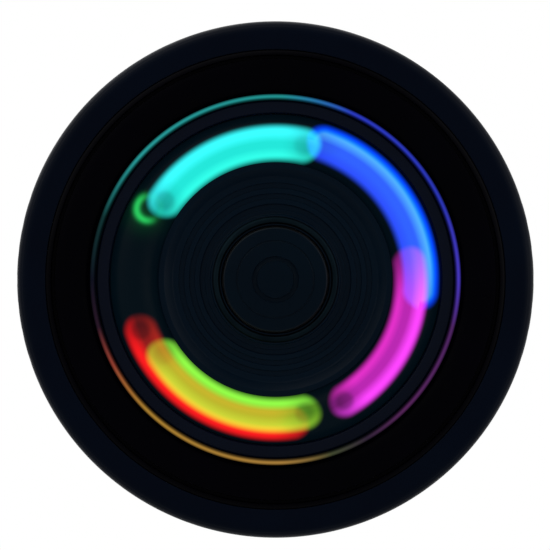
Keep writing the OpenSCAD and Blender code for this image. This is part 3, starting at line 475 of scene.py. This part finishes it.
# The guide's section: web, rim line and band, with half a circle on each of the two
def guideOutline():
    middle = (band["inner"] + band["outer"]) / 2
    rimMiddle = (rimLine["inner"] + rimLine["outer"]) / 2
    rimHalf = (rimLine["outer"] - rimLine["inner"]) / 2
    return np.concatenate([
        [[web["inner"], web["bottom"]], [web["outer"], web["bottom"]], [web["outer"], web["top"]]],
        [[rimLine["outer"], web["top"]]],
        arc((rimMiddle, rimLine["crownHeight"]), rimHalf, 0, 180, rimLine["crownSteps"]),
        [[rimLine["inner"], web["top"]], [band["outer"], web["top"]]],
        arc((middle, band["straightTop"]), band["crown"], 0, 180, band["crownSteps"]),
        [[band["inner"], web["top"]], [web["inner"], web["top"]]],
    ])


# Angle past a place on the ring, between minus and plus half a turn
def pastAngle(a, degrees):
    return (a - np.radians(degrees) + np.pi) % (2 * np.pi) - np.pi


# Colours at a value, in straight runs from stop to stop
def atStops(value, stops, colours):
    colours = np.array(colours)
    return np.stack([np.interp(value, stops, colours[:, k]) for k in range(3)], axis=-1)


# One trail at radius r and angle a: a band with soft edges and round ends, which drifts outwards or inwards
# along its length. Its colour runs from the inner stop over a darker middle, painted shadow of the button, to
# the outer stop; each end fades, with a painted shadow spot where it turns.
def trailLight(s, r, a):
    first, last = np.radians(s["ends"])
    along = np.clip(pastAngle(a, np.mean(s["ends"])) / (last - first) * 2, -1, 1)
    across = (r - s["mid"] - s["drift"] * along) / s["half"]
    perHalf = s["mid"] / s["half"]
    past = (-pastAngle(a, s["ends"][0]) * perHalf, pastAngle(a, s["ends"][1]) * perHalf)
    away = np.hypot(across, np.maximum(np.maximum(*past), 0))
    level = 1 - smoothStep(*trailShape["edge"], away)
    for end, fade, reach, shadowSpot in zip(past, s["fades"], s["reach"], s["shadowSpots"]):
        level = level * (1 - fade * smoothStep(-reach, 1, end))
        # the painted shadow of the button darkens a spot at each end
        level = level * (1 - shadowSpot * (1 - smoothStep(*trailShape["shadowSpot"], np.hypot(across, end))))
    # the middle colour is darker as painted shadow of the button
    rgb = atStops(across, trailShape["stops"], [s["inner"], s["middle"], s["middle"], s["outer"]])
    deeper = 1 + s["deepen"] * smoothStep(*trailShape["deep"], away) * (across > 0)
    return rgb ** deeper[..., None] * level[..., None]


# A small ring of light past the end of a trail, bright on the side it leans to, with a faint halo
def crescentLight(s, r, a):
    side = pastAngle(a, s["angle"]) * s["radius"]
    up = r - s["radius"]
    ring = np.exp(-((np.hypot(side, up) - s["ring"]) / s["width"]) ** 2)
    lean = smoothStep(*s["leanRange"], (s["lean"][0] * side + s["lean"][1] * up) / s["ring"])
    halo = s["halo"] * np.exp(-(np.hypot(side - s["haloShift"], up) / s["haloRadius"]) ** 2)
    return (ring * (s["least"] + (1 - s["least"]) * lean) + halo)[..., None] * np.array(s["colour"])


# The rim line: colour by angle, brightest along its middle
def rimLight(r, a):
    angles, colours = zip(*rimStops)
    off = (r - (rimLine["inner"] + rimLine["outer"]) / 2) / rimLine["spread"]
    return atStops(np.degrees(a) % 360, angles, colours) * np.exp(-off ** 2)[..., None]


# Gives each point its own light, by radius, angle and height: the rim line where that stands, trails and
# crescent on the rest of the front, and none behind
def addGlow(mesh):
    place = np.empty(len(mesh.vertices) * 3, np.float32)
    mesh.vertices.foreach_get("co", place)
    x, y, z = place.reshape(-1, 3).T / mm
    r, a, h = np.hypot(x, z), np.arctan2(z, x), -y
    margin = web["margin"]
    onRim = (r > rimLine["inner"] - margin) & (r < rimLine["outer"] + margin) & (h > web["top"] + margin)
    bandLight = sum(trailLight(s, r, a) for s in trails) + crescentLight(crescent, r, a) + band["dimGlow"]
    light = np.where(onRim[:, None], rimLight(r, a), bandLight)
    light[h < web["top"] - margin] = 0
    glow = mesh.attributes.new("glow", "FLOAT_COLOR", "POINT")
    glow.data.foreach_set("color", np.c_[light, np.ones(len(light))].astype(np.float32).ravel())


# Smoked plastic that carries the glow attribute as its own light
def guideFinish():
    finish, tree, shader = newFinish("lightGuide")
    patches = rangeOf(tree, addNoise(tree, smoke["patch"]), 0, 1)
    tree.links.new(mixColours(tree, patches, smoke["shade"], smoke["colour"]), shader.inputs["Base Color"])
    smear = rangeOf(tree, addNoise(tree, smoke["smear"]), *smoke["rough"])
    tree.links.new(smear, shader.inputs["Roughness"])
    lit = addNode(tree, "ShaderNodeAttribute", attribute_name="glow")
    tree.links.new(lit.outputs["Color"], shader.inputs["Emission Color"])
    shader.inputs["Emission Strength"].default_value = 1
    shader.inputs["Specular IOR Level"].default_value = smoke["specular"]
    return finish


lightGuide = addLoop("lightGuide", turned(guideOutline(), band["steps"]))
addGlow(lightGuide.data)
settle(lightGuide, "lamp", "light_guide", guideFinish())
print("light guide:", len(lightGuide.data.polygons), "faces")


# Face rings round the guide

bezel = {"inner": 25.05, "outer": 30.95, "bottom": 12.0, "crown": 14.6, "fall": 0.7, "crownSteps": 121,
         "bevel": 0.02, "bevelDrop": 0.06, "groove": 29.77, "grooveWidth": 0.5, "grooveFloor": 13.6,
         "grooveSlope": 0.06, "spacing": 0.4, "steps": 600}


# Bezel: its crown is an arc through both edges and the top, with one groove let into it
def bezelOutline():
    s = bezel
    half = (s["outer"] - s["inner"]) / 2
    crownR = (half ** 2 + s["fall"] ** 2) / (2 * s["fall"])
    r = np.linspace(s["outer"] - s["bevel"], s["inner"] + s["bevel"], s["crownSteps"])
    h = s["crown"] - crownR + np.sqrt(crownR ** 2 - (r - s["inner"] - half) ** 2)
    grooveHalf = s["grooveWidth"] / 2
    fromWall = grooveHalf - np.abs(r - s["groove"] - grooveHalf)
    h = h + smoothStep(-s["grooveSlope"], s["grooveSlope"], fromWall) * (s["grooveFloor"] - h)
    line = np.concatenate([
        [[s["inner"], s["bottom"]], [s["outer"], s["bottom"]], [s["outer"], h[0] - s["bevelDrop"]]],
        np.stack([r, h], axis=1),
        [[s["inner"], h[-1] - s["bevelDrop"]]],
    ])
    return evenly(line, s["spacing"])


frontBezel = addLoop("frontBezel", turned(bezelOutline(), bezel["steps"]))
settle(frontBezel, "lamp", "front_bezel", finishes["bezelPlastic"])

trim = {"inner": 22.35, "outer": 24.25, "bottom": 12.0, "top": 14.2, "edge": 0.4, "footEdge": 0.05,
        "spacing": 0.3, "steps": 720}


# Trim ring: a bar with well rounded upper edges
def trimOutline():
    s = trim
    line = rounded([
        (s["inner"], s["bottom"], s["footEdge"]), (s["outer"], s["bottom"], s["footEdge"]),
        (s["outer"], s["top"], s["edge"]), (s["inner"], s["top"], s["edge"]),
    ])
    return evenly(line, s["spacing"])


trimRing = addLoop("trimRing", turned(trimOutline(), trim["steps"]))
settle(trimRing, "lamp", "trim_ring", finishes["trimPlastic"])

dish = {"tubeInner": 7.3, "tubeOuter": 8.75, "tubeBottom": 11.6, "tubeTop": 14.2,
        "tubeEdge": 0.1, "tubeFoot": 0.3, "seatR": 13.25, "seat": 12.0, "seatEdge": 0.05,
        "floor": 12.8, "floorR": 13.85, "floorEdge": 0.5, "outer": 15.85, "outerEdge": 0.12,
        "rimInner": 15.05, "rim": 13.8, "rimEdge": 0.3,
        "grooves": 3, "grooveDepth": 0.3, "grooveSpan": (0.25, 0.75), "grooveEdge": 0.08, "margin": 0.4,
        "spacing": 0.4, "steps": 432}


# Corners of the equal grooves in the dish's floor, from the outermost inwards
def dishGrooves():
    s = dish
    firstR = s["tubeOuter"] + s["margin"]
    step = (s["floorR"] - s["margin"] - firstR) / s["grooves"]
    low = s["floor"] - s["grooveDepth"]
    corners = []
    for i in reversed(range(s["grooves"])):
        inner, outer = (firstR + (i + share) * step for share in s["grooveSpan"])
        corners += [(outer, s["floor"]), (outer, low), (inner, low), (inner, s["floor"])]
    return [(r, h, s["grooveEdge"]) for r, h in corners]


# Dish: seat, outer rim, a slope to the grooved floor, and the tube that guides the button
def dishOutline():
    s = dish
    line = rounded([
        (s["tubeInner"], s["tubeBottom"], s["seatEdge"]), (s["seatR"], s["tubeBottom"], s["seatEdge"]),
        (s["seatR"], s["seat"], s["seatEdge"]), (s["outer"], s["seat"], s["seatEdge"]),
        (s["outer"], s["rim"], s["outerEdge"]), (s["rimInner"], s["rim"], s["rimEdge"]),
        (s["floorR"], s["floor"], s["floorEdge"]),
        *dishGrooves(),
        (s["tubeOuter"], s["floor"], s["tubeFoot"]), (s["tubeOuter"], s["tubeTop"], s["tubeEdge"]),
        (s["tubeInner"], s["tubeTop"], s["tubeEdge"]),
    ])
    return evenly(line, s["spacing"])


centerDish = addLoop("centerDish", turned(dishOutline(), dish["steps"]))
settle(centerDish, "lamp", "center_dish", finishes["dishPlasticPaintedGlow"])

ringTrim = {"mid": 8.025, "foot": 14.2, "half": 0.5, "arcSteps": 17, "steps": 360}


# Button ring: half a circle on the tube's end
def buttonRingOutline():
    s = ringTrim
    return arc((s["mid"], s["foot"]), s["half"], 0, 180, s["arcSteps"])


buttonRing = addLoop("buttonRing", turned(buttonRingOutline(), ringTrim["steps"]))
settle(buttonRing, "lamp", "button_ring", finishes["darkChrome"])
print("face rings made")


# Push button

button = {"radius": 7.0, "edge": 15.0, "dome": 0.8, "domeSteps": 150, "shoulder": 0.15, "shoulderDrop": 0.1,
          "shoulderEdge": 0.12, "marks": ((2.8, 0.35), (5.2, 0.12)),  # radius and depth of the round marks
          "sealTop": 13.44, "sealBottom": 12.56, "sealR": 6.44, "sealEdge": 0.05,
          "flangeTop": 11.5, "flangeBottom": 10.9, "flangeR": 8.2, "flangeEdge": 0.1,
          "inside": 5.8, "roof": 13.8, "roofEdge": 0.2, "stemR": 1.6, "stemEnd": 12.7, "stemEdge": 0.1,
          "steps": 360}


# Button: a domed top with round marks cut as half circles, a seal groove, a flange, and a stem inside
def buttonOutline():
    s = button
    domeR = (s["radius"] ** 2 + s["dome"] ** 2) / (2 * s["dome"])
    r = np.linspace(0, s["radius"] - s["shoulder"], s["domeSteps"])
    h = s["edge"] + s["dome"] - domeR + np.sqrt(domeR ** 2 - r ** 2)
    for markR, depth in s["marks"]:
        h = h - np.sqrt(np.maximum(depth ** 2 - (r - markR) ** 2, 0))
    below = rounded([
        (r[-1], h[-1], 0), (s["radius"], s["edge"] - s["shoulderDrop"], s["shoulderEdge"]),
        (s["radius"], s["sealTop"], s["sealEdge"]), (s["sealR"], s["sealTop"], s["sealEdge"]),
        (s["sealR"], s["sealBottom"], s["sealEdge"]), (s["radius"], s["sealBottom"], s["sealEdge"]),
        (s["radius"], s["flangeTop"], s["flangeEdge"]), (s["flangeR"], s["flangeTop"], s["flangeEdge"]),
        (s["flangeR"], s["flangeBottom"], s["flangeEdge"]), (s["inside"], s["flangeBottom"], s["flangeEdge"]),
        (s["inside"], s["roof"], s["roofEdge"]), (s["stemR"], s["roof"], s["roofEdge"]),
        (s["stemR"], s["stemEnd"], s["stemEdge"]), (0, s["stemEnd"], 0),
    ], closed=False)
    return np.concatenate([np.stack([r, h], axis=1), below[1:]])


buttonCap = addTurnedSolid("buttonCap", buttonOutline(), button["steps"])
settle(buttonCap, "button", "button_cap", finishes["buttonPlasticPaintedGlow"])
print("button made")


# Rubber bumper with grip notches on its two sides

bumper = {"inner": 31.05, "outer": 35.0, "bottom": 9.55, "top": 13.95, "edge": 1.76, "innerEdge": 0.15,
          "ribInner": 30.3, "ribBottom": 10.45, "ribTop": 11.65, "ribEdge": 0.1, "ribFoot": 0.05,
          "notchR": 0.75, "notchAxis": 35.35, "notchTop": 12.28, "notchFade": 0.3,
          "notchStep": 6, "notchSpan": 18, "fineSpan": 20,  # degrees
          "fineSteps": 320, "plainSteps": 140, "spacing": 0.35}


# The bumper's section, with the rib that sits in the housing's groove
def bumperOutline():
    s = bumper
    line = rounded([
        (s["inner"], s["bottom"], s["innerEdge"]), (s["outer"], s["bottom"], s["edge"]),
        (s["outer"], s["top"], s["edge"]), (s["inner"], s["top"], s["innerEdge"]),
        (s["inner"], s["ribTop"], s["ribFoot"]), (s["ribInner"], s["ribTop"], s["ribEdge"]),
        (s["ribInner"], s["ribBottom"], s["ribEdge"]), (s["inner"], s["ribBottom"], s["ribFoot"]),
    ])
    return evenly(line, s["spacing"])


# The bumper's radius, drawn in to the notch's cylinder wherever that lies deeper
def notchedRadius(r, h, a):
    s = bumper
    degrees = (np.degrees(a) + 90) % 180 - 90  # both sides alike
    nearest = np.round(degrees / s["notchStep"]) * s["notchStep"]
    off = np.radians(degrees - np.clip(nearest, -s["notchSpan"], s["notchSpan"]))
    inside = np.maximum(s["notchR"] ** 2 - (s["notchAxis"] * np.sin(off)) ** 2, 0)
    wall = np.where(inside > 0, s["notchAxis"] * np.cos(off) - np.sqrt(inside), np.inf)
    drawn = np.minimum(r, wall)
    return drawn + (r - drawn) * smoothStep(s["notchTop"] - s["notchFade"], s["notchTop"], h)


# The section carried round the axis, in fine steps along the notches and wider ones between
def bumperGrid():
    s = bumper
    r, h = bumperOutline().T[:, None]
    fine = np.linspace(-s["fineSpan"], s["fineSpan"], s["fineSteps"], endpoint=False)
    plain = np.linspace(s["fineSpan"], 180 - s["fineSpan"], s["plainSteps"], endpoint=False)
    a = np.radians(np.concatenate([fine, plain, fine + 180, plain + 180]))[:, None]
    return aroundAxis(notchedRadius(r, h, a), h, a)


bumperRing = addLoop("bumperRing", bumperGrid())
settle(bumperRing, "lamp", "bumper_ring", finishes["bumperRubber"])
print("bumper made:", len(bumperRing.data.polygons), "faces")


# Clip spring: a wire that comes off the base plate, winds round the pin and ends under the lever

spring = {"axis": (11.0, -1.8), "coil": 1.5, "wire": 0.6, "pitch": 1.05, "turns": 6.25,
          "baseLegEnd": 1.4, "leverLegEnd": (8.0, -3.3), "perTurn": 40, "legSteps": 12, "sides": 14}
springHalf = spring["turns"] * spring["pitch"] / 2


# A circle carried square to its path: a straight leg, a helix about the pin and another straight leg
def springGrid():
    s = spring
    t = np.linspace(0, 1, int(s["turns"] * s["perTurn"]))
    angle = -2 * np.pi * s["turns"] * t
    coil = np.stack([s["axis"][0] + s["coil"] * np.cos(angle), springHalf * (1 - 2 * t),
                     s["axis"][1] + s["coil"] * np.sin(angle)], axis=1)
    t = np.linspace(0, 1, s["legSteps"])[:, None]
    baseLeg = np.array([coil[0, 0], springHalf, s["baseLegEnd"]]) * (1 - t) + coil[0] * t
    leverLeg = coil[-1] * (1 - t) + np.array([s["leverLegEnd"][0], -springHalf, s["leverLegEnd"][1]]) * t
    path = np.concatenate([baseLeg[:-1], coil, leverLeg[1:]])
    turn = np.pad(angle, s["legSteps"] - 1, mode="edge")
    ahead = np.gradient(path, axis=0)
    ahead /= np.linalg.norm(ahead, axis=1, keepdims=True)
    side = np.cross(ahead, np.stack([np.cos(turn), 0 * turn, np.sin(turn)], axis=1))
    side /= np.linalg.norm(side, axis=1, keepdims=True)
    out = np.cross(side, ahead)
    ring = np.linspace(0, 2 * np.pi, s["sides"], endpoint=False)[None, :, None]
    tube = path[:, None] + s["wire"] / 2 * (np.cos(ring) * out[:, None] + np.sin(ring) * side[:, None])
    return np.stack([tube[..., 0], -tube[..., 2], tube[..., 1]], axis=-1) * mm


clipSpring = addBar("clipSpring", springGrid())
clipSpring.data.materials.append(finishes["springSteel"])
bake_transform(clipSpring)
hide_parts("clip_spring")
print("spring made")


# Jaw pads: a grooved outline carried along its groove, with cross ribs and rounded corners

pads = {"mouth": -9.0, "root": 6.5, "halfLength": 12.0, "face": 0.15, "back": 1.9, "grooveR": 1.0,
        "lead": 2.2, "leadDepth": 0.7, "corner": 1.2, "ribPitch": 1.6, "ribDepth": 0.16,
        "ribSlope": (0.1, 0.5), "ribFade": (0.3, 0.6),
        "faceSteps": (60, 41, 40), "spacing": 0.4, "steps": 241}


# A pad's section: a flat face with a slanted mouth and a half-round groove cut in, and a flat back
def padOutline():
    s = pads
    stops = (s["mouth"], -s["grooveR"], s["grooveR"], s["root"])
    x = np.concatenate([np.linspace(*run) for run in zip(stops[:-1], stops[1:], s["faceSteps"])])
    lead = s["leadDepth"] * np.clip((s["mouth"] + s["lead"] - x) / s["lead"], 0, 1)
    groove = np.sqrt(np.maximum(s["grooveR"] ** 2 - x ** 2, 0))
    faceLine = np.stack([x, np.maximum(s["face"] + lead, groove)], axis=1)
    backLine = np.array([[s["root"], s["back"]], [s["mouth"], s["back"]]])
    return evenly(np.concatenate([faceLine, backLine]), s["spacing"])


# The section along the groove: drawn in on arcs at the corners, and let back in waves on the face
def padGrid():
    s = pads
    x, z = padOutline().T[:, None]
    y = np.linspace(-s["halfLength"], s["halfLength"], s["steps"])[:, None]
    past = np.clip(np.abs(y) - s["halfLength"] + s["corner"], 0, s["corner"])
    inset = s["corner"] - np.sqrt(s["corner"] ** 2 - past ** 2)
    x = np.clip(x, s["mouth"] + inset, s["root"] - inset)
    ribs = s["ribDepth"] * smoothStep(*s["ribSlope"], np.cos(2 * np.pi * y / s["ribPitch"]))
    depth = np.clip((s["back"] - z) / (s["back"] - s["face"]), 0, 1)
    return x, y + 0 * x, z + ribs * smoothStep(*s["ribFade"], depth)


x, y, z = padGrid()
for name, node, body, facing in (("spokePad", "spoke_pad", "lamp", 1), ("jawPad", "jaw_pad", "clip", -1)):
    pad = addBar(name, np.stack([x, -facing * z, y], axis=-1) * mm)
    settle(pad, body, node, finishes["padRubber"])
print("pads made")


# Finishes of the frame's own pieces

frameFinishes = {
    "rear_housing": "housingPlastic", "battery_tray": "housingPlastic", "case_gasket": "sealRubber",
    "case_screws": "screwSteel", "base_screws": "screwSteel", "hinge_pin": "screwSteel",
    "button_oring": "sealRubber", "switch_plunger": "switchPlastic", "tact_switch": "switchPlastic",
    "reflector": "whitePlastic", "circuit_board": "boardGreen", "leds": "ledPackage",
    "controller_chip": "chipBlack", "resistors": "chipBlack", "capacitors": "capacitorTan",
    "upper_contact": "contactBrass", "lower_contact": "contactBrass", "tray_gasket": "sealRubber",
    "coin_cell_front": "cellSteel", "coin_cell_rear": "cellSteel",
    "clip_base": "clipPlastic", "clip_lever": "clipPlastic",
}
for name, finish in frameFinishes.items():
    nodes[name].data.materials.clear()
    nodes[name].data.materials.append(finishes[finish])
print("frame pieces dressed:", len(frameFinishes))


# Floor, light and camera, in metres

white = (1, 1, 1, 1)
floor = {"height": -0.064, "radius": 0.36, "middle": 0.01, "around": 96, "rings": 24,
         "near": 0.12, "far": 0.34, "colour": (0.88, 0.88, 0.87), "shade": (0.86, 0.86, 0.85),
         "patch": 6, "rough": 0.7, "specular": 0.2}


# A disc: rings of points out to its radius, round one face in the middle
def addFloor():
    around, rings = floor["around"], floor["rings"]
    a = np.linspace(2 * np.pi, 0, around, endpoint=False)[:, None]
    r = np.linspace(floor["middle"], floor["radius"], rings)[None, :]
    grid = np.stack([r * np.cos(a), r * np.sin(a), floor["height"] + 0 * r * a], axis=-1)
    inner = (np.arange(around) * rings)[None, ::-1]
    return addMesh("floor", grid.reshape(-1, 3), [gridQuads(around, rings, True, False), inner], closed=False)


# 1 for rays from the camera, from glossy surfaces and through clear ones
def seenRays(tree):
    rays = addNode(tree, "ShaderNodeLightPath").outputs
    first = joined(tree, "MAXIMUM", rays["Is Camera Ray"], rays["Is Glossy Ray"])
    return joined(tree, "MAXIMUM", first, rays["Is Transmission Ray"])


# Pale matt floor that runs into the white background with distance from the lamp, and is clear from below
def floorFinish():
    finish, tree, shader = newFinish("paleFloor")
    patches = rangeOf(tree, addNoise(tree, floor["patch"]), 0, 1)
    tree.links.new(mixColours(tree, patches, floor["shade"], floor["colour"]), shader.inputs["Base Color"])
    shader.inputs["Roughness"].default_value = floor["rough"]
    shader.inputs["Specular IOR Level"].default_value = floor["specular"]
    bright = addNode(tree, "ShaderNodeEmission", {"Color": white, "Strength": 1})
    far = rangeOf(tree, lengthOf(tree, objectPlace(tree)), 0, 1, floor["near"], floor["far"],
                  interpolation_type="SMOOTHSTEP")
    share = joined(tree, "MULTIPLY", far, seenRays(tree))
    top = mixShaders(tree, share, shader.outputs["BSDF"], bright.outputs["Emission"])
    under = addNode(tree, "ShaderNodeNewGeometry").outputs["Backfacing"]
    clear = addNode(tree, "ShaderNodeBsdfTransparent").outputs["BSDF"]
    tree.links.new(mixShaders(tree, under, top, clear), tree.nodes["Material Output"].inputs["Surface"])
    return finish


ground = addFloor()
ground.data.materials.append(floorFinish())

studio = {"ambient": 0.55, "lights": [
    {"name": "keyLight", "at": (-0.6, -0.32, 0.7), "size": 1.5, "power": 7.0},
    {"name": "fillLight", "at": (0.75, -0.3, 0.25), "size": 0.9, "power": 3.0},
    {"name": "backLight", "at": (-0.35, 0.5, 0.8), "size": 1.8, "power": 6.5},
]}


# White where it is seen, dimmer where it lights the object
def addWorld():
    world = bpy.data.worlds.new("studio")
    world.use_nodes = True
    tree = world.node_tree
    tree.nodes.clear()
    dim = addNode(tree, "ShaderNodeBackground", {"Color": white, "Strength": studio["ambient"]})
    bright = addNode(tree, "ShaderNodeBackground", {"Color": white, "Strength": 1})
    both = mixShaders(tree, seenRays(tree), dim.outputs["Background"], bright.outputs["Background"])
    tree.links.new(both, addNode(tree, "ShaderNodeOutputWorld").inputs["Surface"])
    return world


# An area lamp that looks at the origin
def addLight(s):
    data = bpy.data.lights.new(s["name"], "AREA")
    data.size = s["size"]
    data.energy = s["power"]
    light = bpy.data.objects.new(s["name"], data)
    light.location = s["at"]
    light.rotation_euler = (-light.location).to_track_quat("-Z", "Y").to_euler()
    bpy.context.scene.collection.objects.link(light)


bpy.context.scene.world = addWorld()
for own in studio["lights"]:
    addLight(own)

# Lens and sensor in millimetres, the rest in pixels of the square picture
view = {"lens": 200.0, "sensor": 36.0, "frame": 550, "discCentre": (275.4, 279.5), "discRadius": 258.0}


# A camera straight in front, as far off as gives the bumper its radius in the picture, and set aside so that
# the bumper's middle falls on its place there
def addCamera():
    low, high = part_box("bumper_ring")
    perPixel = high.x / view["discRadius"]
    distance = perPixel * view["frame"] * view["lens"] / view["sensor"]
    across, down = view["discCentre"]
    camera = bpy.data.objects.new("camera", bpy.data.cameras.new("camera"))
    camera.data.lens = view["lens"]
    camera.data.sensor_width = view["sensor"]
    camera.location = ((view["frame"] / 2 - across) * perPixel, (low.y + high.y) / 2 - distance,
                       (down - view["frame"] / 2) * perPixel)
    camera.rotation_euler = (math.pi / 2, 0, 0)
    bpy.context.scene.collection.objects.link(camera)
    return camera


bpy.context.scene.camera = addCamera()
bpy.context.scene.view_settings.view_transform = "Standard"
print("studio and camera set")
